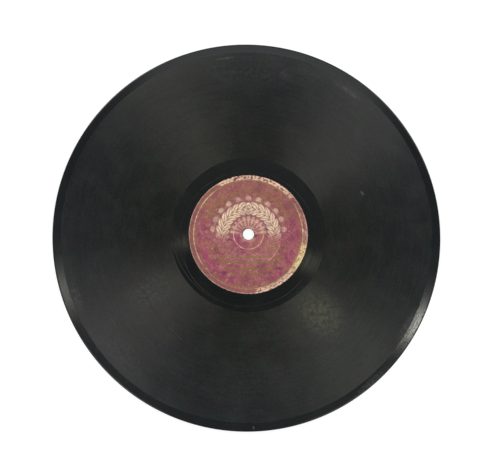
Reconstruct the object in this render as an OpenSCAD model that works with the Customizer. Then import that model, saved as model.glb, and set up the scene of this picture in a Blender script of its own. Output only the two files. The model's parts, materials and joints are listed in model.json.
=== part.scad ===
// Shellac record of 25 cm: one pressed disc with a paper label bonded into each face.
// It lies with side A up. +Z runs up the axis of the spindle hole, and z = 0 is the lower face.

/* [Disc] */
// Outside diameter of the disc
disc_d = 250; // [170:1:310]
// Thickness of the disc between its two plain faces
disc_t = 2.2; // [1.9:0.1:3.2]
// Radius that rounds the rim off at each face
rim_round_r = 0.9; // [0.4:0.05:1.05]

/* [Spindle hole] */
// Diameter of the hole that drops over the turntable's spindle
spindle_hole_d = 7.24; // [7.1:0.02:7.6]

/* [Recorded band] */
// Width of the plain margin between the rim and the first groove
margin_w = 5.4; // [3:0.2:12]
// Depth of the spiral groove, which the band is drawn down to
groove_depth = 0.08; // [0.04:0.01:0.1]

/* [Run-out] */
// Width of the plain run-out between the label's seat and the last groove
runout_w = 11.2; // [9:0.2:30]
// Distance of the stop groove's centre from the spindle hole, which swings the pickup and works the stop
stop_groove_offset = 2.7; // [0:0.1:3.5]
// Direction of that centre, in degrees clockwise from +X as the side is looked at
stop_groove_turn = 95; // [0:5:355]
// Least land between the label's seat and the stop groove
stop_groove_land = 2.3; // [0.5:0.1:3]
// Width of the stop groove at the face
stop_groove_w = 0.3; // [0.2:0.05:0.6]
// Depth of the stop groove
stop_groove_depth = 0.08; // [0.06:0.02:0.2]

/* [Labels] */
// Diameter of the paper label
label_d = 76.5; // [60:0.5:100]
// Thickness of the paper once it is pressed
label_t = 0.12; // [0.08:0.01:0.2]
// Thickness of the bond between the paper and the floor of its seat
label_bond_t = 0.02; // [0.01:0.005:0.05]
// Gap all round between the paper's edge and the wall of its seat
label_edge_gap = 0.05; // [0.02:0.01:0.2]
// Gap between the wall of the spindle hole and the edge of the paper's own hole
label_hole_gap = 0.18; // [0.1:0.02:0.6]
// Diameter of the ring that the press leaves standing on the paper
press_ring_d = 19.2; // [14:0.2:40]
// Width of that ring
press_ring_w = 0.7; // [0.4:0.1:1.5]
// Height of that ring above the paper
press_ring_h = 0.04; // [0.02:0.01:0.08]
// Depth of the ring's crown below the disc's face, so that the paper never rubs
press_ring_clear = 0.04; // [0.02:0.01:0.1]

/* [Hidden] */
$fn = 180;
// Sides that draw the small rounds of a section
round_fn = 32;

// How far a cutter stands out of the face that it cuts
cut_over = 1;

disc_r = disc_d / 2;
rim_r = min(rim_round_r, disc_t / 2);
spindle_hole_r = spindle_hole_d / 2;

label_r = label_d / 2;
label_hole_r = spindle_hole_r + label_hole_gap;
label_sink = press_ring_h + press_ring_clear;
seat_r = label_r + label_edge_gap;
seat_depth = label_sink + label_t + label_bond_t;

band_outer_r = disc_r - margin_w;
band_inner_r = seat_r + runout_w;
stop_groove_r = seat_r + stop_groove_land + stop_groove_offset + stop_groove_w / 2;

// A low crown of this radius has the ring's width as its chord and the ring's height as its rise
press_ring_r = press_ring_d / 2;
crown_r = (pow(press_ring_w / 2, 2) + pow(press_ring_h, 2)) / (2 * press_ring_h);

// Turns what is drawn at the lower face over to the upper face, as the record is turned over to play it
module upper_face() {
    translate([0, 0, disc_t]) rotate([180, 0, 0]) children();
}

module both_faces() {
    children();
    upper_face() children();
}

// Half section of the blank, with a round rim
module blank_section() {
    square([disc_r - rim_r, disc_t]);
    translate([disc_r - rim_r, rim_r]) circle(r = rim_r, $fn = round_fn);
    translate([disc_r - rim_r, disc_t - rim_r]) circle(r = rim_r, $fn = round_fn);
    translate([disc_r - rim_r, rim_r]) square([rim_r, max(disc_t - 2 * rim_r, 0)]);
}

module label_seat() {
    translate([0, 0, -cut_over]) cylinder(r = seat_r, h = cut_over + seat_depth);
}

module recorded_band() {
    rotate_extrude()
        translate([band_inner_r, -cut_over])
            square([band_outer_r - band_inner_r, cut_over + groove_depth]);
}

// A V cut on a circle that is off the disc's centre
module stop_groove() {
    rotate([0, 0, stop_groove_turn]) translate([stop_groove_offset, 0, 0])
        rotate_extrude()
            translate([stop_groove_r, 0])
                polygon([
                    [-stop_groove_w / 2, 0],
                    [-stop_groove_w / 2, -cut_over],
                    [stop_groove_w / 2, -cut_over],
                    [stop_groove_w / 2, 0],
                    [0, stop_groove_depth]
                ]);
}

module shellac_disc() {
    color("#2b2b2c")
        difference() {
            rotate_extrude() blank_section();
            translate([0, 0, -cut_over]) cylinder(r = spindle_hole_r, h = disc_t + 2 * cut_over);
            both_faces() {
                label_seat();
                recorded_band();
                stop_groove();
            }
        }
}

// Paper label in the lower face: a flat ring of paper with the press's round mark standing on it
module paper_label() {
    color("#9a5568")
        rotate_extrude() {
            translate([label_hole_r, label_sink]) square([label_r - label_hole_r, label_t]);
            intersection() {
                translate([press_ring_r, label_sink - press_ring_h + crown_r]) circle(r = crown_r);
                translate([press_ring_r - press_ring_w, label_sink - press_ring_h])
                    square([2 * press_ring_w, press_ring_h + label_t]);
            }
        }
}

module label_side_a() {
    upper_face() paper_label();
}

module label_side_b() {
    paper_label();
}

shellac_disc();
label_side_a();
label_side_b();
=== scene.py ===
"""A ten-inch shellac record lying side A up on a white table, seen from almost straight above."""
import json
import math
from types import SimpleNamespace

import bpy
import numpy as np
from mathutils import Matrix, Vector


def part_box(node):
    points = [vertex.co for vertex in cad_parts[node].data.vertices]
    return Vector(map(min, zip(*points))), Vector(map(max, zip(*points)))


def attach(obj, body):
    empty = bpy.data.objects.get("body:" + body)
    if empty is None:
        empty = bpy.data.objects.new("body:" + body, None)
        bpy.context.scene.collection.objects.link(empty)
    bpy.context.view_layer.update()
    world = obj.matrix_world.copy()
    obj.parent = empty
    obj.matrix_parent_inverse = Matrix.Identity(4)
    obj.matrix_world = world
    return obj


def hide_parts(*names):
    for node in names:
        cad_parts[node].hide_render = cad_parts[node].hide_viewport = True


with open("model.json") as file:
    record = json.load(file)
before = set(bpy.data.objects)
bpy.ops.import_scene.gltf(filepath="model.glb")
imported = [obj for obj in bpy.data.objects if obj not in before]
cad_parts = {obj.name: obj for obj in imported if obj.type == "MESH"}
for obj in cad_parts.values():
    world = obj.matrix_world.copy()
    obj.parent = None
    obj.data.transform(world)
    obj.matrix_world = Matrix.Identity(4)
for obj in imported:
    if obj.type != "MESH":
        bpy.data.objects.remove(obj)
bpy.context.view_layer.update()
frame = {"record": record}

# The shellac disc: one hot pressing of shellac compound, a black resin filled with stone dust. The stampers
# leave one spiral groove on each side between a glossy margin at the rim and a glossy run-out at the label,
# and a round seat in which the paper label is pressed.
MM = 0.001
disc_low, disc_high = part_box("shellac_disc")
disc_r = -disc_low.x / MM
disc_t = disc_high.z / MM
hole_r = frame["record"]["mounts"][0]["dims"]["r_mm"]
rim_round_r = 0.9
rim_round_steps = 6
rim_lead_w = 0.1
margin_w = 5.4
runout_w = 11.2
seat_r = 38.3
seat_depth = 0.22
seat_edge_r = 0.1
band_outer_r = disc_r - margin_w
band_inner_r = seat_r + runout_w
groove_depth = 0.08
groove_turns = 228
groove_columns = 90
groove_end_column = 36
columns_per_groove_column = 4
collar_w = 0.3
stop_groove_offset = 2.7
stop_groove_turn = math.radians(-95)
stop_groove_land = 2.3
runout_groove_w = 0.3
runout_groove_depth = 0.08
stop_groove_r = seat_r + stop_groove_land + stop_groove_offset + runout_groove_w / 2
lead_out_start_inset = 0.25
lead_out_sweep = math.radians(121)
lead_out_pull = 2.27
lead_out_taper = math.radians(8)
lead_out_clear = 0.05
disc_crease = math.radians(20)


def smooth(low, high, value):
    """Rises from 0 to 1 between low and high, level at both ends."""
    share = np.clip((value - low) / (high - low), 0, 1)
    return share * share * (3 - 2 * share)


def closed_strips(rings, columns):
    """Quads between each ring of points and the next one, in index order, joined round the axis."""
    ring, column = np.meshgrid(np.arange(rings - 1), np.arange(columns), indexing="ij")
    here, beside = ring * columns + column, ring * columns + (column + 1) % columns
    return np.stack([here, beside, beside + columns, here + columns], -1).reshape(-1, 4)


def disc_rim():
    """Radius and height of the outer rings, from side B's groove out round the edge and in to side A's
    groove. Each edge is a quarter circle of rim_round_r."""
    turn = np.linspace(0, math.pi / 2, rim_round_steps + 1)
    inner = [band_outer_r + collar_w, disc_r - rim_round_r - rim_lead_w]
    radius = np.concatenate([inner, disc_r - rim_round_r + rim_round_r * np.sin(turn)])
    height = np.concatenate([[0, 0], rim_round_r - rim_round_r * np.cos(turn)])
    return np.concatenate([radius, radius[::-1]]), np.concatenate([height, disc_t - height[::-1]])


def runout_rings(turn):
    """Radius and depth of side A's rings from the end of the music to the spindle hole, for each angle. The
    lead-out groove keeps to the band's edge, then falls in by lead_out_pull times the square of the angle
    left to the place where it joins the stop groove, a circle set off the axis. Then comes the seat."""
    off = turn - stop_groove_turn
    along, across = stop_groove_offset * np.cos(off), stop_groove_offset * np.sin(off)
    stop = along + np.sqrt(stop_groove_r ** 2 - across ** 2)
    start = band_inner_r - lead_out_start_inset
    sweep = (turn - 2 * math.pi * groove_end_column / groove_columns) % (2 * math.pi)
    beside_stop = stop + runout_groove_w + lead_out_clear
    left = np.clip(lead_out_sweep - sweep, 0, None)
    back = smooth(lead_out_sweep, 2 * math.pi, sweep)
    lead = np.minimum(start, beside_stop + lead_out_pull * left ** 2)
    lead = np.maximum(lead, beside_stop + (start - beside_stop) * back)
    fade = np.clip(np.minimum(sweep, lead_out_sweep - sweep) / lead_out_taper, 0, 1)
    half, flat = runout_groove_w / 2, np.zeros_like(turn)
    edge, bevel = seat_edge_r, 0.3 * seat_edge_r
    rings = [(flat + band_inner_r - lead_out_start_inset / 3, flat),
             (lead + half, flat), (lead, fade * runout_groove_depth), (lead - half, flat),
             (stop + half, flat), (stop, flat + runout_groove_depth), (stop - half, flat),
             (flat + seat_r + edge, flat), (flat + seat_r + bevel, flat + bevel),
             (flat + seat_r, flat + edge), (flat + seat_r, flat + seat_depth),
             (flat + hole_r, flat + seat_depth)]
    return np.array([r for r, d in rings]), np.array([d for r, d in rings])


def spiral_groove():
    """Angle of each step, and the crest and valley lines of the V groove: the radius falls by one pitch a
    turn, and the valley lies half a pitch in from the crest."""
    steps = np.arange((groove_turns + 1) * groove_columns + groove_end_column + 1)
    pitch = (band_outer_r - band_inner_r) / (steps[-1] / groove_columns)
    turn = steps * 2 * math.pi / groove_columns
    crest = band_outer_r - pitch * steps / groove_columns
    valley = crest[:-groove_columns] - pitch / 2
    return turn, crest, valley


def side_faces(crest, valley, margin, runout):
    """Faces of one side's groove from the indices of its points: two walls for each step, two small end
    walls, and the flat collars that join the groove to the finer rings of the margin and the run-out."""
    n, per, wide = len(valley) - 1, columns_per_groove_column, groove_columns
    walls = np.concatenate([
        np.stack([crest[:n], crest[1:n + 1], valley[1:], valley[:-1]], 1),
        np.stack([valley[:-1], valley[1:], crest[wide + 1:], crest[wide:-1]], 1)])
    column = np.arange(wide)
    fine = (column[:, None] * per + np.arange(per + 1)) % len(margin)
    outer = np.column_stack([margin[fine], crest[column + 1], crest[column]]).tolist()
    outer[-1].insert(per + 1, crest[0])
    fine = ((column[:, None] + n) * per + np.arange(per, -1, -1)) % len(runout)
    inner = np.column_stack([crest[n + column], crest[n + column + 1], runout[fine]]).tolist()
    inner[0].append(crest[n + wide])
    ends = [[crest[0], valley[0], crest[wide]], [crest[n], crest[n + wide], valley[n]]]
    return walls.tolist() + ends, outer, inner


def disc_mesh():
    """The whole disc as one closed surface: rim rings, side A's groove, run-out, seats and bore, side B's
    groove. Side B is side A turned over about X. The map around the axis has the angle across and the length
    along the section up."""
    columns = groove_columns * columns_per_groove_column
    turn = np.arange(columns) * 2 * math.pi / columns
    over = -np.arange(columns) % columns
    rim_r, rim_z = (np.repeat(a[:, None], columns, 1) for a in disc_rim())
    run_r, run_d = runout_rings(turn)
    run_r = np.concatenate([run_r, run_r[::-1, over]])
    run_z = np.concatenate([disc_t - run_d, run_d[::-1, over]])
    groove_turn, crest, valley = spiral_groove()
    groove = [(groove_turn, crest, 0 * crest),
              (groove_turn[:len(valley)], valley, groove_depth + 0 * valley)]
    band_w = rim_r[-1, 0] - run_r[0, 0]

    rim_s, run_s = (np.append(0, np.hypot(np.diff(r.mean(1)), np.diff(z.mean(1))).cumsum())
                    for r, z in ((rim_r, rim_z), (run_r, run_z)))
    run_s = rim_s[-1] + band_w + run_s
    whole = run_s[-1] + band_w

    def rings(r, z, s):
        """Points of closed rings: x, y and height, then angle and length for the map."""
        values = r * np.cos(turn), r * np.sin(turn), z, turn + 0 * r, s[:, None] + 0 * r
        return np.stack(values, -1).reshape(-1, 5)

    def line(angle, r, depth, side_b):
        """Points of a crest or valley line, with the same five values."""
        way, z = (-1, depth) if side_b else (1, disc_t - depth)
        s = whole - (rim_r[0, 0] - r) if side_b else rim_s[-1] + rim_r[-1, 0] - r
        return np.stack([r * np.cos(angle), way * r * np.sin(angle), z, way * angle % (2 * math.pi), s], -1)

    blocks = [rings(rim_r, rim_z, rim_s), *(line(*g, False) for g in groove),
              rings(run_r, run_z, run_s), *(line(*g, True) for g in groove)]
    at = np.cumsum([0] + [len(b) for b in blocks])
    points = np.concatenate(blocks)
    index = [np.arange(a, b) for a, b in zip(at[:-1], at[1:])]
    rim_at, run_at = index[0].reshape(-1, columns), index[3].reshape(-1, columns)
    walls_a, margin_a, runout_a = side_faces(index[1], index[2], rim_at[-1], run_at[0])
    walls_b, margin_b, runout_b = side_faces(index[4], index[5], rim_at[0][over], run_at[-1][over])
    # The walls of the lead-out and stop grooves are strips 1, 2, 4 and 5 from either end of the run-out.
    strip = np.arange(len(run_r) - 1)
    wall = np.isin(np.minimum(strip, strip[::-1]), (1, 2, 4, 5))
    run_d = np.minimum(run_z, disc_t - run_z)
    cut = np.maximum(run_d[1:], run_d[:-1])
    cut = (np.maximum(cut, np.roll(cut, -1, 1)) > 0) & wall[:, None]
    run_faces = closed_strips(len(run_r), columns) + at[3]
    margin = [*closed_strips(len(rim_r), columns).tolist(), *margin_a, *margin_b]
    runout = [*run_faces[~cut.ravel()].tolist(), *runout_a, *runout_b]
    grooves = [*walls_a, *walls_b, *run_faces[cut.ravel()].tolist()]

    mesh = bpy.data.meshes.new("shellac_disc_visual")
    mesh.from_pydata(points[:, :3] * MM, [], margin + runout + grooves)
    finish = np.repeat([0, 1, 2], [len(margin), len(runout), len(grooves)])
    mesh.polygons.foreach_set("material_index", finish)
    corner = np.zeros(len(mesh.loops), int)
    mesh.loops.foreach_get("vertex_index", corner)
    start = np.zeros(len(mesh.polygons), int)
    mesh.polygons.foreach_get("loop_start", start)
    size = np.diff(np.append(start, len(corner)))
    uv = points[corner, 3:] / (2 * math.pi, whole)
    wraps = np.maximum.reduceat(uv, start) - np.minimum.reduceat(uv, start) > 0.5
    uv += np.repeat(wraps, size, 0) & (uv < 0.5)
    for name in ("around", "OFBake"):
        mesh.uv_layers.new(name=name).uv.foreach_set("vector", uv.ravel().astype(np.float32))
    mesh.shade_smooth()
    mesh.set_sharp_from_angle(angle=disc_crease)
    return mesh


def srgb(code):
    """A colour written as an sRGB hex code, as linear red, green, blue and full alpha."""
    c = np.array([int(code[i:i + 2], 16) for i in (1, 3, 5)]) / 255
    return (*np.where(c <= 0.04045, c / 12.92, ((c + 0.055) / 1.055) ** 2.4).tolist(), 1.0)


def add(tree, kind, inputs=(), **settings):
    """Adds a node of that kind with its settings. inputs gives sockets, by name or number, a value, or a node
    or a socket to link."""
    node = tree.nodes.new("ShaderNode" + kind)
    for name, value in settings.items():
        setattr(node, name, value)
    for key, value in dict(inputs).items():
        sockets = [s for s in node.inputs if s.name == key and not s.is_unavailable]
        socket = node.inputs[key] if isinstance(key, int) else sockets[0]
        if isinstance(value, bpy.types.Node):
            value = next(s for s in value.outputs if not s.is_unavailable)
        if isinstance(value, bpy.types.NodeSocket):
            tree.links.new(value, socket)
        else:
            socket.default_value = value
    return node


def put(name, data):
    """A new object with that data, linked to the scene."""
    item = bpy.data.objects.new(name, data)
    bpy.context.scene.collection.objects.link(item)
    return item


def bare_tree(block):
    """The node tree of a material or a world, emptied."""
    block.use_nodes = True
    block.node_tree.nodes.clear()
    return block.node_tree


# Marks on side A, some of them painted sheen and painted highlight: place, half length and half width in mm,
# turn in degrees, and strength.
disc_marks_and_painted_sheen = [
    # Broad, faint patches of dull haze, partly painted sheen that brightens the groove wedges and the band's
    # outer edge.
    (46.0, -51.0, 26.0, 18.0, -49, 0.17), (-62.0, -36.0, 24.0, 15.0, 29, 0.07),
    (8.0, 106.0, 60.0, 15.0, 0, 0.04), (6.0, 115.5, 48.0, 6.5, 0, 0.03), (2.0, -92.0, 48.0, 27.0, 0, 0.025),
    (-82.0, -75.0, 38.0, 15.0, -48, 0.04), (14.0, -62.0, 42.0, 16.0, 0, 0.025),
    # Scuffs at the right and the left rim, partly a painted highlight where the rim highlights spill onto the
    # band's edge.
    (102.5, -58.5, 18.0, 4.5, 60, 0.12), (-109.5, -40.0, 15.0, 5.0, -70, 0.09),
    # A pale fleck and two scratches.
    (73.9, 27.0, 2.0, 0.95, -55, 0.8), (-85.4, -56.0, 5.5, 0.2, -57, 0.3),
    (-46.0, -63.4, 9.0, 0.2, -45, 0.22),
    # Scuffs where the needle was set down.
    (-15.7, 115.3, 9.0, 1.0, 8, 0.2), (23.7, 105.0, 8.0, 5.0, -13, 0.09),
    (40.0, 106.0, 12.0, 3.0, -20, 0.06), (65.0, 95.0, 16.0, 3.2, -36, 0.1), (68.8, 91.5, 3.2, 1.0, -37, 0.3),
    # Dust on the margin, partly a painted tail of the right rim highlight, and a small knock on the rim.
    (79.3, -94.5, 24.0, 4.3, 40, 0.085), (3.2, -122.3, 0.9, 1.6, 5, 0.2)]
# The tones change from an inner to an outer one over the band, from this radius on.
inner_tone_r = 50
# The outermost grooves are duller where the record has been held: each way to such a side, and how much.
held_from_r, held_full_r = 106, 119
held_sides = [((0, 1, 0), 0.05), ((-0.77, -0.64, 0), 0.03)]


def disc_patterns(t):
    """Places on the disc in mm, and the noises that vary its tone and its gloss."""
    at = SimpleNamespace()
    at.spot = add(t, "TexCoord").outputs["Object"]
    at.flat = add(t, "VectorMath", {0: at.spot, 1: (1 / MM, 1 / MM, 0)}, operation="MULTIPLY")
    at.radius = add(t, "VectorMath", {0: at.flat}, operation="LENGTH").outputs["Value"]
    at.way = add(t, "VectorMath", {0: at.flat}, operation="NORMALIZE")
    at.outer = add(t, "MapRange", {"Value": at.radius, "From Min": inner_tone_r, "From Max": band_outer_r},
                   interpolation_type="SMOOTHSTEP")

    # Tonal rings follow the loud and quiet passages, from 2.5 mm wide down.
    at.passages = add(t, "TexNoise", {"W": at.radius, "Scale": 1 / 2.5, "Detail": 3, "Roughness": 0.75},
                      noise_dimensions="1D")
    # Arcs of needle wear follow the groove: a sixth of a radian long, about 1.4 mm across.
    arc_place = add(t, "CombineXYZ", {2: add(t, "Math", {0: at.radius, 1: 1 / 1.4}, operation="MULTIPLY")})
    arc_place = add(t, "VectorMath", {0: at.way, 1: (6, 6, 0), 2: arc_place}, operation="MULTIPLY_ADD")
    at.arcs = add(t, "TexNoise", {"Vector": arc_place, "Scale": 1, "Detail": 3, "Roughness": 0.7})
    # Haze of handling, in patches of about 20 mm, and stone-dust grain, drawn at 1.5 mm so that it shows.
    at.haze = add(t, "TexNoise", {"Vector": at.flat, "Scale": 1 / 20, "Detail": 5, "Roughness": 0.65,
                                  "Distortion": 0.4})
    at.grain = add(t, "TexNoise", {"Vector": at.flat, "Scale": 1 / 1.5, "Detail": 4, "Roughness": 0.8})
    # Blotches that break up every mark and patch of painted sheen, from 2.5 mm down, and specks of dust,
    # drawn at 1 mm so as to show.
    at.blotches = add(t, "TexNoise", {"Vector": at.flat, "Scale": 1 / 2.5, "Detail": 4, "Roughness": 0.8})
    at.dust = add(t, "TexNoise", {"Vector": at.flat, "Scale": 1 / 1.0, "Detail": 1, "Roughness": 0.5})
    # A faint drift of tint between plum and green, in patches of about 14 mm.
    at.drift = add(t, "TexNoise", {"Vector": at.flat, "Scale": 1 / 14, "Detail": 4, "Roughness": 0.7,
                                   "Distortion": 0.4})
    return at


def disc_mark_and_sheen_share(t, at):
    """How far the marks and the painted sheen cover each place. They are on side A only, and broken up by the
    blotches.
    """
    marks_and_sheen = 0.0
    for x, y, half_length, half_width, angle, strength in disc_marks_and_painted_sheen:
        place = add(t, "Mapping", {"Vector": at.flat, "Location": (x, y, 0),
                                   "Rotation": (0, 0, math.radians(angle)),
                                   "Scale": (half_length, half_width, 1)}, vector_type="TEXTURE")
        away = add(t, "VectorMath", {0: place}, operation="LENGTH").outputs["Value"]
        patch_share = add(t, "MapRange", {"Value": away, "From Min": 1, "From Max": 0.1, "To Max": strength},
                   interpolation_type="SMOOTHSTEP")
        marks_and_sheen = add(t, "Math", {0: patch_share, 1: marks_and_sheen}, operation="MAXIMUM")
    height = add(t, "SeparateXYZ", {0: at.spot}).outputs["Z"]
    side_a = add(t, "Math", {0: height, 1: disc_t * MM / 2}, operation="GREATER_THAN")
    broken = add(t, "MapRange", {"Value": at.blotches, "From Min": 0.42, "From Max": 0.72, "To Min": 0.35,
                                 "To Max": 2.9})
    broken = add(t, "Math", {0: side_a, 1: broken}, operation="MULTIPLY")
    return add(t, "Math", {0: marks_and_sheen, 1: broken}, operation="MULTIPLY", use_clamp=True)


def disc_film(t, at, wear):
    """The share of dust and haze over the compound, thicker where the record has been held."""
    dusty = add(t, "MapRange", {"Value": at.dust, "From Min": 0.56, "From Max": 0.75, "To Max": 0.06 * wear})
    hazy = add(t, "MapRange", {"Value": at.haze, "From Min": 0.47, "From Max": 0.77, "To Max": 0.055 * wear})
    film = add(t, "Math", {0: dusty, 1: hazy}, operation="ADD")
    held_rim = add(t, "MapRange", {"Value": at.radius, "From Min": held_from_r, "From Max": held_full_r},
                   interpolation_type="SMOOTHSTEP")
    for side, share in held_sides:
        facing = add(t, "VectorMath", {0: at.way, 1: side}, operation="DOT_PRODUCT").outputs["Value"]
        held = add(t, "MapRange", {"Value": facing, "From Min": 0.6, "From Max": 0.9,
                                   "To Max": share * wear})
        film = add(t, "Math", {0: held_rim, 1: held, 2: film}, operation="MULTIPLY_ADD")
    return film


def disc_tone(t, at, wear, marks_and_sheen):
    """The colour: worn grey over the black of the resin, then the film, the drift of tint and the marks,
    which also paint sheen and highlights.
    """
    worn = 0.0
    for noise, low, high, share in ((at.passages, 0.4, 0.8, 0.15), (at.arcs, 0.4, 0.8, 0.6),
                                    (at.grain, 0.4, 0.8, 0.82), (at.haze, 0.3, 0.7, 0.05)):
        spread = add(t, "MapRange", {"Value": noise, "From Min": low, "From Max": high,
                                     "To Max": share * wear})
        worn = add(t, "Math", {0: spread, 1: worn}, operation="ADD")
    dusted = add(t, "Math", {0: at.outer, 1: wear}, operation="MULTIPLY")
    black = add(t, "Mix", {"Factor": dusted, "A": srgb("#000304"), "B": srgb("#0b0d10")}, data_type="RGBA")
    grey = add(t, "Mix", {"Factor": at.outer, "A": srgb("#22241d"), "B": srgb("#262a2d")}, data_type="RGBA")
    tone = add(t, "Mix", {"Factor": worn, "A": black, "B": grey}, data_type="RGBA")
    scuffed_and_sheen = add(t, "Mix", {"Factor": at.outer, "A": srgb("#8a8670"), "B": srgb("#888887")},
                  data_type="RGBA")
    tone = add(t, "Mix", {"Factor": disc_film(t, at, wear), "A": tone, "B": scuffed_and_sheen}, data_type="RGBA")
    drifted = add(t, "MapRange", {"Value": at.drift, "From Min": 0.35, "From Max": 0.65})
    tint = add(t, "Mix", {"Factor": drifted, "A": srgb("#ffe2ff"), "B": srgb("#e0ffe3")}, data_type="RGBA")
    tone = add(t, "VectorMath", {0: tone, 1: tint}, operation="MULTIPLY")
    # The scuff grey also lays painted sheen and painted highlight on the band and the margin.
    return add(t, "Mix", {"Factor": marks_and_sheen, "A": tone, "B": scuffed_and_sheen}, data_type="RGBA")


def disc_roughness(t, at, roughness, turned_die, marks_and_sheen):
    """The gloss is duller in the haze and on the marks and painted sheen, and a little sharper towards the
    rim. A turned die leaves rings of finer and coarser polish."""
    dull = add(t, "MapRange", {"Value": at.haze, "From Min": 0.3, "From Max": 0.7, "To Min": roughness * 0.94,
                               "To Max": roughness * 1.06})
    fresh = add(t, "MapRange", {"Value": at.outer, "To Min": 1.0, "To Max": 0.9})
    dull = add(t, "Math", {0: dull, 1: fresh}, operation="MULTIPLY")
    if turned_die:
        polish = add(t, "MapRange", {"Value": at.passages, "From Min": 0.35, "From Max": 0.65, "To Min": 0.72,
                                     "To Max": 1.25})
        dull = add(t, "Math", {0: dull, 1: polish}, operation="MULTIPLY")
    return add(t, "Math", {0: marks_and_sheen, 1: 0.3, 2: dull}, operation="MULTIPLY_ADD", use_clamp=True)


def shellac_compound(name, roughness, ior, wear, drawn_out, turned):
    """Hot-pressed shellac compound: black resin with a soft gloss, grey where the needle and handling have
    worn it, under a thin film of dust and haze. wear is the share of grey. drawn_out is how far a
    turned die has stretched the gloss, around the axis or, turned by 0.25, across."""
    material = bpy.data.materials.new(name)
    t = bare_tree(material)
    at = disc_patterns(t)
    marks_and_sheen = disc_mark_and_sheen_share(t, at)
    tone = disc_tone(t, at, wear, marks_and_sheen)
    dull = disc_roughness(t, at, roughness, drawn_out > 0, marks_and_sheen)
    bump = add(t, "Bump", {"Height": at.grain, "Strength": 1, "Distance": 0.007 * MM})
    bsdf = add(t, "BsdfPrincipled", {"Base Color": tone, "Roughness": dull, "IOR": ior, "Normal": bump})
    if drawn_out:
        bsdf.inputs["Anisotropic"].default_value = drawn_out
        bsdf.inputs["Anisotropic Rotation"].default_value = turned
        around = add(t, "Tangent", direction_type="UV_MAP", uv_map="around")
        t.links.new(around.outputs["Tangent"], bsdf.inputs["Tangent"])
    add(t, "OutputMaterial", {"Surface": bsdf})
    return material


# One compound in three finishes: roughness, IOR, wear, stretch of the gloss and its turn.
finishes = [("handled margin", 0.158, 1.45, 0.35, 0, 0),
            ("polished run-out", 0.103, 1.46, 0.5, 0.755, 0.25),
            ("worn grooves", 0.34, 1.41, 1.0, 0, 0)]
disc = put("shellac_disc_visual", disc_mesh())
for finish, *values in finishes:
    disc.data.materials.append(shellac_compound("shellac compound, " + finish, *values))
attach(disc, "root")
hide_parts("shellac_disc")

# The labels: round sheets of thin paper, printed plum with gilt and cream, laid in the press with the hot
# compound so that they sink a little below the face. The die leaves a fine raised ring, where the print has
# rubbed off.
label_low, label_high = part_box("label_side_a")
label_r = label_high.x / MM
label_floor = label_low.z / MM
label_t = 0.12
label_sink = 0.01
label_hole_r = 3.8
label_columns = 480
label_rings = 130
label_fray = 0.45
label_fray_path_r = 9
label_nick = 0.2
label_nick_path_r = 38
label_wave = 0.02
label_edge_w = 0.5
label_edge_drop = 0.03
label_crease = math.radians(40)
press_ring_r = 9.6
press_ring_w = 0.7
press_ring_h = 0.035
wreath_r = 16.8
wreath_half_w = 4.6
wreath_leaves = 13
leaf_length = 7.2
leaf_half_w = 1.65
leaf_lean = math.radians(38)
leaf_start = 0.2
leaf_stagger = 0.15
fan_r = 24.4
fan_rays = 22
fan_scallop = 0.8
garland_r = 27.6
garland_step = math.radians(11)
lozenge_half_w = 1.9
lozenge_half_h = 2.5
garland_line_gap = 3.6
border_r = 35.2
border_beads_per_half_turn = 90
border_bead_inset = 1.5
gilt_line_r = 34.5
scratch_r = 21.3
label_specks = 26
# Gilt bars: height, then start and end to either side of the middle. Stains: place and half sizes.
label_bars = [(-6.6, 13.5, 25.5), (-10.6, 11.0, 25.0), (-14.6, -1, 23.5), (-18.4, -1, 22.0),
              (-22.2, -1, 16.5), (-26.0, -1, 11.5), (-31.4, -1, 7.0)]
label_stains = [(-15.7, -24.9, 3.2, 1.5), (14.0, -24.9, 1.4, 1.2), (19.8, -22.0, 3.0, 1.4),
                (-12.5, -3.6, 2.4, 0.8)]
# Stretches round a label of wear, dirt, painted shade and a brighter border line: the angles, in degrees
# clockwise from the right, at which each starts, is full, begins to fade and ends. Those that pass the right
# run on beyond 360.
bright_left_arc = (142, 156, 222, 240)
bright_right_arc = (325, 340, 430, 448)
top_wear_arc = (232, 246, 362, 376)
low_wear_arc = (30, 44, 76, 90)
scratch_arc = (14, 20, 50, 58)
yellow_arc = (6, 14, 34, 44)
painted_shade_arc = (84, 108, 228, 244)
hole_dirt_arc = (150, 190, 250, 290)
# The gilt wash has four such radii.
gilt_wash_radii = (21, 24, 32.5, 34.5)


def zone(value, start, full, fade, end):
    """Rises from 0 to 1 between start and full, and falls back to 0 between fade and end."""
    return smooth(start, full, value) * smooth(end, fade, value)


def mottle(x, y, grain, seed):
    """Random patches between 0 and 1, about grain mm across: values on a square lattice, joined smoothly."""
    lattice = np.random.default_rng(seed).random((128, 128))
    u, v = x / grain + 64, y / grain + 64
    i, j = np.floor(u).astype(int), np.floor(v).astype(int)
    a, b = smooth(0, 1, u - i), smooth(0, 1, v - j)
    i, j = i % 127, j % 127
    low = lattice[i, j] * (1 - a) + lattice[i + 1, j] * a
    return low * (1 - b) + (lattice[i, j + 1] * (1 - a) + lattice[i + 1, j + 1] * a) * b


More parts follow.
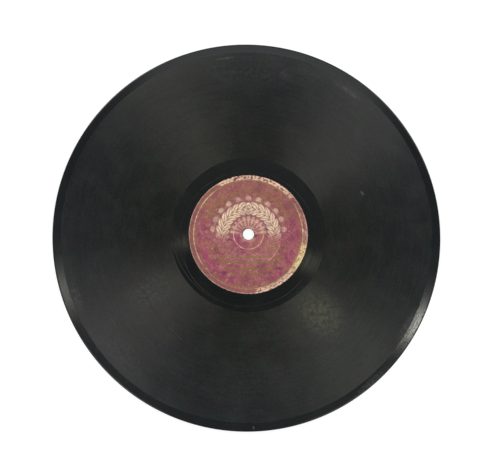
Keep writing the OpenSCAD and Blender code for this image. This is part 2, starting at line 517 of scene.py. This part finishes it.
def wreath(x, y):
    """A laurel wreath round the press ring: leaves in pairs along a stem, from the foot up both sides. Each
    leaf is a lens of half width leaf_half_w * sin(pi * share of its length), with a bare midrib, and leans
    off the stem."""
    along_stem = np.abs(np.arctan2(x, -y)) * wreath_r
    off_stem = np.hypot(x, y) - wreath_r
    ink = smooth(0.45, 0.15, np.abs(off_stem)) * 0.8
    step = math.pi * wreath_r / wreath_leaves
    for leaf in range(wreath_leaves):
        for way in (1, -1):
            s = along_stem - (leaf + leaf_start + leaf_stagger * way) * step
            n = off_stem * way
            along = s * math.cos(leaf_lean) + n * math.sin(leaf_lean)
            across = np.abs(n * math.cos(leaf_lean) - s * math.sin(leaf_lean))
            half = leaf_half_w * np.sin(math.pi * np.clip(along / leaf_length, 0, 1))
            blade = smooth(-0.05, 0.35, half - across) * (1 - 0.6 * smooth(0.4, 0.15, across))
            ink = np.maximum(ink, blade)
    return ink


def gilt_bars(x, y):
    """Plain gilt bars across the lower half: level strips, cut to a point at each end where the distance
    along, plus or minus the distance off the bar's own line, passes the end."""
    ink, away = np.zeros_like(x), np.abs(x)
    for bar_y, start, end in label_bars:
        off = np.abs(y - bar_y)
        bar = smooth(1.0, 0.6, off) * smooth(end, end - 0.5, away + off)
        ink = np.maximum(ink, bar * smooth(start, start + 0.5, away - off))
    return ink


def garland(x, y):
    """Gilt lozenges and beads by turns on an arc over the upper half, between two thin lines."""
    turn = np.arctan2(x, y)
    s = (turn / garland_step - np.round(turn / garland_step)) * garland_step * garland_r
    n = np.hypot(x, y) - garland_r
    between = garland_step * garland_r / 2 - np.abs(s)
    lozenge = smooth(0.15, -0.15, np.abs(s) / lozenge_half_w + np.abs(n) / lozenge_half_h - 1)
    bead = smooth(0.95, 0.6, np.hypot(between, n))
    lines = smooth(0.4, 0.15, np.abs(np.abs(n) - garland_line_gap)) * 0.7
    return np.maximum(np.maximum(lozenge, bead), lines) * smooth(1.28, 1.2, np.abs(turn))


def label_places(x, y, seed):
    """What the print and the wear of a label share: the radius and the clockwise angle of each place, the
    angle again with its first 100 degrees run onward past 360, the mottling, and how far the place lies in
    the upper half, on the border and where the border's line is bright."""
    at = SimpleNamespace(x=x, y=y, seed=seed, rho=np.hypot(x, y))
    at.clock = np.degrees(np.arctan2(-y, x)) % 360
    at.onward = at.clock + 360 * (at.clock < 100)
    grains = enumerate((0.55, 1.6, 7.0))
    at.fine, at.small, at.broad = (mottle(x, y, grain, seed + k) for k, grain in grains)
    at.rub = 0.55 * at.fine + 0.45 * at.small
    at.upper = smooth(-4, 3, y)
    at.border = smooth(border_r + 0.2, border_r + 0.6, at.rho)
    at.bright = np.maximum(zone(at.clock, *bright_left_arc), zone(at.onward, *bright_right_arc))
    return at


def gilt_print(at):
    """A thin gilt wash, the bars and the garland, the gilt line and the border."""
    side = smooth(18, 27, np.abs(at.x))
    wash = zone(at.rho, *gilt_wash_radii) * at.upper * (1 - 0.8 * side * smooth(14, 4, at.y))
    wash = np.maximum(wash, 0.25 * smooth(-4, -8, at.y) * (1 - side) * smooth(33, 30, at.rho))
    wash = wash * (0.1 + 0.45 * at.rub)
    forms = np.maximum(gilt_bars(at.x, at.y), garland(at.x, at.y)) * smooth(0.08, 0.6, at.rub)
    line = smooth(0.85, 0.5, np.abs(at.rho - gilt_line_r)) * (0.7 + 0.3 * at.rub)
    border = smooth(border_r, border_r + 0.4, at.rho) * (0.14 + 0.4 * smooth(0.3, 0.7, at.rub))
    return np.maximum.reduce([wash, forms, line, border])


def cream_print(at, laurel):
    """The cream wreath on its fan of rays, the press ring and the line at the border."""
    leaves = laurel * (0.1 + 0.9 * at.upper) * smooth(-0.15, 0.5, at.rub + 0.25 * at.upper)
    turn = np.arctan2(at.x, at.y)
    ray = np.cos(turn * fan_rays)
    fan = smooth(1.54, 1.5, np.abs(turn)) * smooth(fan_r, fan_r - 0.6, at.rho - fan_scallop * ray)
    fan = fan * (0.3 + 0.7 * smooth(5, 9, at.rho))
    fan = fan * (0.12 + 0.5 * smooth(-0.4, 0.4, ray))
    fan = fan * (0.55 + 0.45 * smooth(0.2, 0.7, 0.5 * at.broad + 0.5 * at.rub))
    fan = fan * (1 - 0.6 * smooth(wreath_half_w + 1.2, wreath_half_w, np.abs(at.rho - wreath_r)))
    ring = smooth(0.42, 0.12, np.abs(at.rho - press_ring_r)) * (0.2 + 0.7 * at.small)
    line = smooth(0.36, 0.14, np.abs(at.rho - border_r)) * (0.14 * at.small + 1.1 * at.bright * at.small)
    return np.maximum.reduce([leaves, fan, ring, line])


def bare_paper(at):
    """Paper that shows where the print has gone: at the rim, along a scratch, at the frayed hole and in
    specks. It has the cream's colour."""
    edge = at.border * smooth(label_r - 0.6, label_r - 0.35, at.rho) * (0.25 + 0.65 * at.small)
    scratch = 0.35 * smooth(0.45, 0.1, np.abs(at.rho - scratch_r)) * zone(at.clock, *scratch_arc)
    fray = 0.34 * smooth(5.8, 4.2, at.rho + 1.2 * (at.small - 0.5)) * smooth(20, 50, at.clock)
    bare = np.maximum.reduce([edge, scratch, fray])
    draw = np.random.default_rng(at.seed + 9)
    for px, py, size in zip(draw.uniform(-27, 27, label_specks), draw.uniform(-27, 20, label_specks),
                            draw.uniform(0.25, 0.6, label_specks)):
        bare = np.maximum(bare, 0.75 * smooth(size, size * 0.3, np.hypot(at.x - px, at.y - py)))
    return bare


def rubbed_border(at, worn):
    """The border, rubbed bare where it is worn, except on its beads."""
    rough = 0.4 * at.fine + 0.3 * at.small + 0.3 * mottle(at.x, at.y, 3.0, at.seed + 5)
    rubbed = smooth(0.24, 0.46, rough + 0.75 * worn - 0.55)
    half_turn, angle = border_beads_per_half_turn, np.radians(at.clock)
    bead = np.round(angle * half_turn / math.pi) * math.pi / half_turn
    beads = np.hypot((angle - bead) * at.rho, at.rho - border_r - border_bead_inset)
    return at.border * rubbed * (1 - 0.4 * smooth(0.7, 0.35, beads))


def yellowed_paper(at):
    """Yellowed paper at the lower right of the border and along its line."""
    patch = smooth(border_r - 1.5, border_r + 0.5, at.rho) * zone(at.clock, *yellow_arc)
    line = smooth(0.4, 0.15, np.abs(at.rho - border_r)) * (0.2 + 0.5 * at.bright) * at.rub
    return np.maximum(patch * smooth(0.2, 0.5, at.rub), line)


def label_stain_and_shade(at, laurel, worn):
    """Stains, the ground between the leaves, dark flecks and painted shade on the border, and dirt at the
    hole.
    """
    stain = 0.3 * smooth(0.55, 0.85, mottle(at.x, at.y, 3.5, at.seed + 6)) * smooth(9, 14, at.rho)
    for px, py, wide, high in label_stains:
        away = np.hypot((at.x - px) / wide, (at.y - py) / high)
        stain = np.maximum(stain, 0.75 * smooth(1.25, 0.3, away + 0.9 * (at.rub - 0.5)))
    near_stem = smooth(wreath_half_w + 1.0, wreath_half_w, np.abs(at.rho - wreath_r))
    ground = 0.4 * near_stem * at.upper * smooth(0.6, 0.1, laurel)
    flecks = 0.95 * at.border * worn * smooth(0.63, 0.72, mottle(at.x, at.y, 1.1, at.seed + 7))
    # Painted shade: the border darkened from the bottom round the left to the upper left.
    shade = 0.2 * at.border * zone(at.clock, *painted_shade_arc)
    crescent = 0.7 * smooth(5.0, 4.0, at.rho) * zone(at.clock, *hole_dirt_arc)
    spot = 0.8 * smooth(1.1, 0.5, np.hypot(at.x - 4.6, at.y + 1.0))
    return np.maximum.reduce([stain, ground, flecks, shade, crescent, spot])


def label_print(x, y, seed):
    """Shares of gilt, cream, rubbed and yellowed paper and stain at each place on a label, from 0 to 1. Each
    is the largest of several forms, smooth in radius and in angle and broken up by mottling. The border is
    worn at the top and the lower right."""
    at = label_places(x, y, seed)
    laurel = wreath(x, y)
    top_wear = zone(at.onward, *top_wear_arc) * (1 - 0.65 * smooth(296, 330, at.onward))
    worn = np.maximum(top_wear, 0.9 * zone(at.clock, *low_wear_arc))
    # The stain share also holds the painted shade on the border.
    return {"gilt": gilt_print(at), "cream": np.maximum(cream_print(at, laurel), bare_paper(at)),
            "rubbed": rubbed_border(at, worn), "yellow": yellowed_paper(at),
            "stain": label_stain_and_shade(at, laurel, worn)}


def label_mesh(name, side_b, seed):
    """A closed paper ring: rings of points from the rim in to the hole over the top, then back underneath.
    The hole is frayed and the rim nicked by up to a few tenths of a millimetre. Side B's label is turned over
    about X."""
    turn = np.arange(label_columns) * 2 * math.pi / label_columns
    share = np.linspace(0, 1, label_rings)[:, None]
    round_x, round_y = np.cos(turn), np.sin(turn)
    fray = mottle(label_fray_path_r * round_x, label_fray_path_r * round_y, 2.0, seed + 20)
    nick = mottle(label_nick_path_r * round_x, label_nick_path_r * round_y, 1.5, seed + 21)
    outer, inner = label_r - label_nick * nick ** 3, label_hole_r + label_fray * fray ** 2
    rho = outer + (inner - outer) * share
    x, y = rho * round_x, rho * round_y
    ring = np.clip(np.abs(rho - press_ring_r) / press_ring_w * 2, 0, 1)
    relief = press_ring_h * (1 - ring * ring) ** 2 + label_wave * (mottle(x, y, 8.0, seed + 22) - 0.5)
    relief = relief - label_edge_drop * smooth(label_r - label_edge_w, label_r, rho)
    relief = relief - label_edge_drop * smooth(label_hole_r + label_edge_w, label_hole_r, rho)
    z = label_floor + label_t - label_sink + relief
    x, y = np.concatenate([x, x[[-1, 0]]]), np.concatenate([y, y[[-1, 0]]])
    z = np.concatenate([z, np.full((2, label_columns), label_floor)])
    points = np.stack([x, -y, disc_t - z] if side_b else [x, y, z], -1).reshape(-1, 3) * MM
    faces = closed_strips(label_rings + 3, label_columns) % len(points)
    mesh = bpy.data.meshes.new(name)
    mesh.from_pydata(points, [], faces.tolist())
    for mask, value in label_print(x, y, seed).items():
        layer = mesh.attributes.new(mask, "FLOAT", "POINT")
        layer.data.foreach_set("value", value.ravel().astype(np.float32))
    mesh.shade_smooth()
    mesh.set_sharp_from_angle(angle=label_crease)
    return mesh


def label_paper(name):
    """Uncoated paper with a plum ground, pressed half smooth by the die: matt, with the gilt a dull tan and
    fibres showing."""
    material = bpy.data.materials.new(name)
    t = bare_tree(material)
    spot = add(t, "TexCoord").outputs["Object"]
    place = add(t, "VectorMath", {0: spot, "Scale": 1 / MM}, operation="SCALE")
    # Patches of fading about 6 mm across, pale bloom of 2.5 mm, and fibres drawn at 0.8 mm so as to show.
    fading = add(t, "TexNoise", {"Vector": place, "Scale": 1 / 6, "Detail": 3, "Roughness": 0.65})
    bloom = add(t, "TexNoise", {"Vector": place, "Scale": 1 / 2.5, "Detail": 4, "Roughness": 0.75})
    fibres = add(t, "TexNoise", {"Vector": place, "Scale": 1 / 0.8, "Detail": 3, "Roughness": 0.75})
    faded = add(t, "MapRange", {"Value": fading, "From Min": 0.4, "From Max": 0.6})
    tone = add(t, "Mix", {"Factor": faded, "A": srgb("#a64869"), "B": srgb("#af6664")}, data_type="RGBA")
    bloomed = add(t, "MapRange", {"Value": bloom, "From Min": 0.5, "From Max": 0.72, "To Max": 0.85})
    tone = add(t, "Mix", {"Factor": bloomed, "A": tone, "B": srgb("#c98a92")}, data_type="RGBA")
    # The stain colour also paints the shade on a label's border.
    for mask, colour in (("gilt", "#98704a"), ("cream", "#f6d8b9"), ("rubbed", "#ffd3b8"),
                         ("yellow", "#efd69e"), ("stain", "#683648")):
        share = add(t, "Attribute", attribute_name=mask).outputs["Fac"]
        tone = add(t, "Mix", {"Factor": share, "A": tone, "B": srgb(colour)}, data_type="RGBA")
    shade = add(t, "MapRange", {"Value": fibres, "From Min": 0.3, "From Max": 0.7, "To Min": 0.6,
                                "To Max": 1.44})
    tone = add(t, "VectorMath", {0: tone, "Scale": shade}, operation="SCALE")
    dull = add(t, "MapRange", {"Value": fibres, "From Min": 0.3, "From Max": 0.7, "To Min": 0.6,
                               "To Max": 0.8})
    bump = add(t, "Bump", {"Height": fibres, "Strength": 0.25, "Distance": 0.03 * MM})
    bsdf = add(t, "BsdfPrincipled", {"Base Color": tone, "Roughness": dull, "IOR": 1.45, "Normal": bump})
    add(t, "OutputMaterial", {"Surface": bsdf})
    return material


plum_paper = label_paper("plum label paper, printed and pressed")
for node, side_b, seed in (("label_side_a", False, 11), ("label_side_b", True, 47)):
    label = put(node + "_visual", label_mesh(node + "_visual", side_b, seed))
    label.data.materials.append(plum_paper)
    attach(label, "root")
    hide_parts(node)

# The table: a plain white sheet under the record. It glows where it is seen, so that it shows as bare white,
# and lights the record only as a grey sheet would.
floor_side = 8.0
floor_drop = 0.0001
floor_glow = 0.8
floor_corners = ((-1, -1), (1, -1), (1, 1), (-1, 1))
floor_mesh = bpy.data.meshes.new("white_table")
floor_mesh.from_pydata([(x * floor_side / 2, y * floor_side / 2, -floor_drop) for x, y in floor_corners],
                       [], [(0, 1, 2, 3)])
floor = put("white_table", floor_mesh)
table_paper = bpy.data.materials.new("white table paper")
t = bare_tree(table_paper)
seen = add(t, "LightPath").outputs
shown = add(t, "Math", {0: seen["Is Camera Ray"], 1: seen["Is Glossy Ray"]}, operation="MAXIMUM")
shown = add(t, "Math", {0: shown, 1: seen["Is Transmission Ray"]}, operation="MAXIMUM")
strength = add(t, "Math", {0: shown, 1: floor_glow}, operation="MULTIPLY")
glow = add(t, "Emission", {"Color": srgb("#ffffff"), "Strength": strength})
matt = add(t, "BsdfDiffuse", {"Color": srgb("#9c9c9c")})
add(t, "OutputMaterial", {"Surface": add(t, "AddShader", {0: matt, 1: glow})})
floor_mesh.materials.append(table_paper)

# Studio light: four large soft boxes, a panel behind and four small lamps overhead, all near white. Each has
# its turn about the axis, its angle from the vertical and its slant in degrees, its size in metres, its
# light and its colour.
lamp_distance = 0.9
lamps = [
    ("right_rim_lamp", -15.8, 22.1, 0, 0.026, 0.03, 0.064, "#fffef2"),
    ("right_runout_lamp", 6.9, 9.4, -30.6, 0.03, 0.04, 0.0028, "#fff6d8"),
    ("left_rim_lamp", -173.4, 18.0, 0, 0.055, 0.05, 0.0215, "#fffef2"),
    ("left_runout_lamp", -215.0, 5.9, 43, 0.01, 0.04, 0.0017, "#fff6d8"),
    ("back_panel", -280.4, 23.4, 0, 0.414, 0.21, 0.1, "#fafbfd"),
    ("front_right_box", -55.1, 36.5, 0, 0.278, 0.48, 0.32, "#fffbe6"),
    ("front_left_box", -134.0, 36.6, 0, 0.36, 0.5, 0.445, "#fffcf4"),
    ("back_left_box", -236.2, 45.0, 0, 0.345, 0.55, 0.555, "#fdffea"),
    ("back_right_box", -321.2, 48.2, 0, 0.34, 0.5, 0.565, "#fff7f0")]
for name, turn, lean, slant, across, along, light, colour in lamps:
    lamp = bpy.data.lights.new(name, "AREA")
    lamp.shape = "ELLIPSE" if name.endswith("box") else "RECTANGLE"
    lamp.size, lamp.size_y = across, along
    lamp.color = srgb(colour)[:3]
    lamp.energy = light * math.pi * lamp_distance ** 2
    lamp_object = put(name, lamp)
    place = Matrix.Rotation(math.radians(turn), 4, "Z") @ Matrix.Rotation(math.radians(lean), 4, "Y")
    place = place @ Matrix.Translation((0, 0, lamp_distance))
    lamp_object.matrix_world = place @ Matrix.Rotation(math.radians(90 + slant), 4, "Z")

# The room: a bright cove low down round the table, dim walls, and a ceiling that is a little brighter but
# dimmest right over the record. Each step has its height, from level to straight up, and its colour.
world = bpy.data.worlds.new("studio_room")
t = bare_tree(world)
upward = add(t, "SeparateXYZ", {0: add(t, "TexCoord").outputs["Generated"]}).outputs["Z"]
room = add(t, "ValToRGB", {"Fac": upward})
steps = [(0.08, "#f4f4f4"), (0.3, "#8f9499"), (0.972, "#8f9499"), (0.984, "#9fa4aa"), (0.99, "#9fa4aa"),
         (0.998, "#7e8388")]
for height, colour in steps[2:]:
    room.color_ramp.elements.new(height)
for stop, (height, colour) in zip(room.color_ramp.elements, steps):
    stop.position, stop.color = height, srgb(colour)
add(t, "OutputWorld", {"Surface": add(t, "Background", {"Color": room, "Strength": 1.0})})
bpy.context.scene.world = world

# The camera stands above and a little towards the lower left, as in the photograph.
picture_w = 500
focal_px = 790
camera_distance = 508.1
camera_tilt = math.radians(5.25)
camera_turn = math.radians(-117.7)
look_at = Vector((1.0, 2.42, disc_t)) * MM
camera_data = bpy.data.cameras.new("camera")
camera_data.lens = focal_px / picture_w * camera_data.sensor_width
camera = put("camera", camera_data)
back = Vector((math.sin(camera_tilt) * math.cos(camera_turn), math.sin(camera_tilt) * math.sin(camera_turn),
               math.cos(camera_tilt)))
right = Vector((0, 1, 0)).cross(back).normalized()
facing = Matrix((right, back.cross(right), back)).transposed().to_4x4()
camera.matrix_world = Matrix.Translation(look_at + back * camera_distance * MM) @ facing
bpy.context.scene.camera = camera
bpy.context.scene.view_settings.view_transform = "Standard"
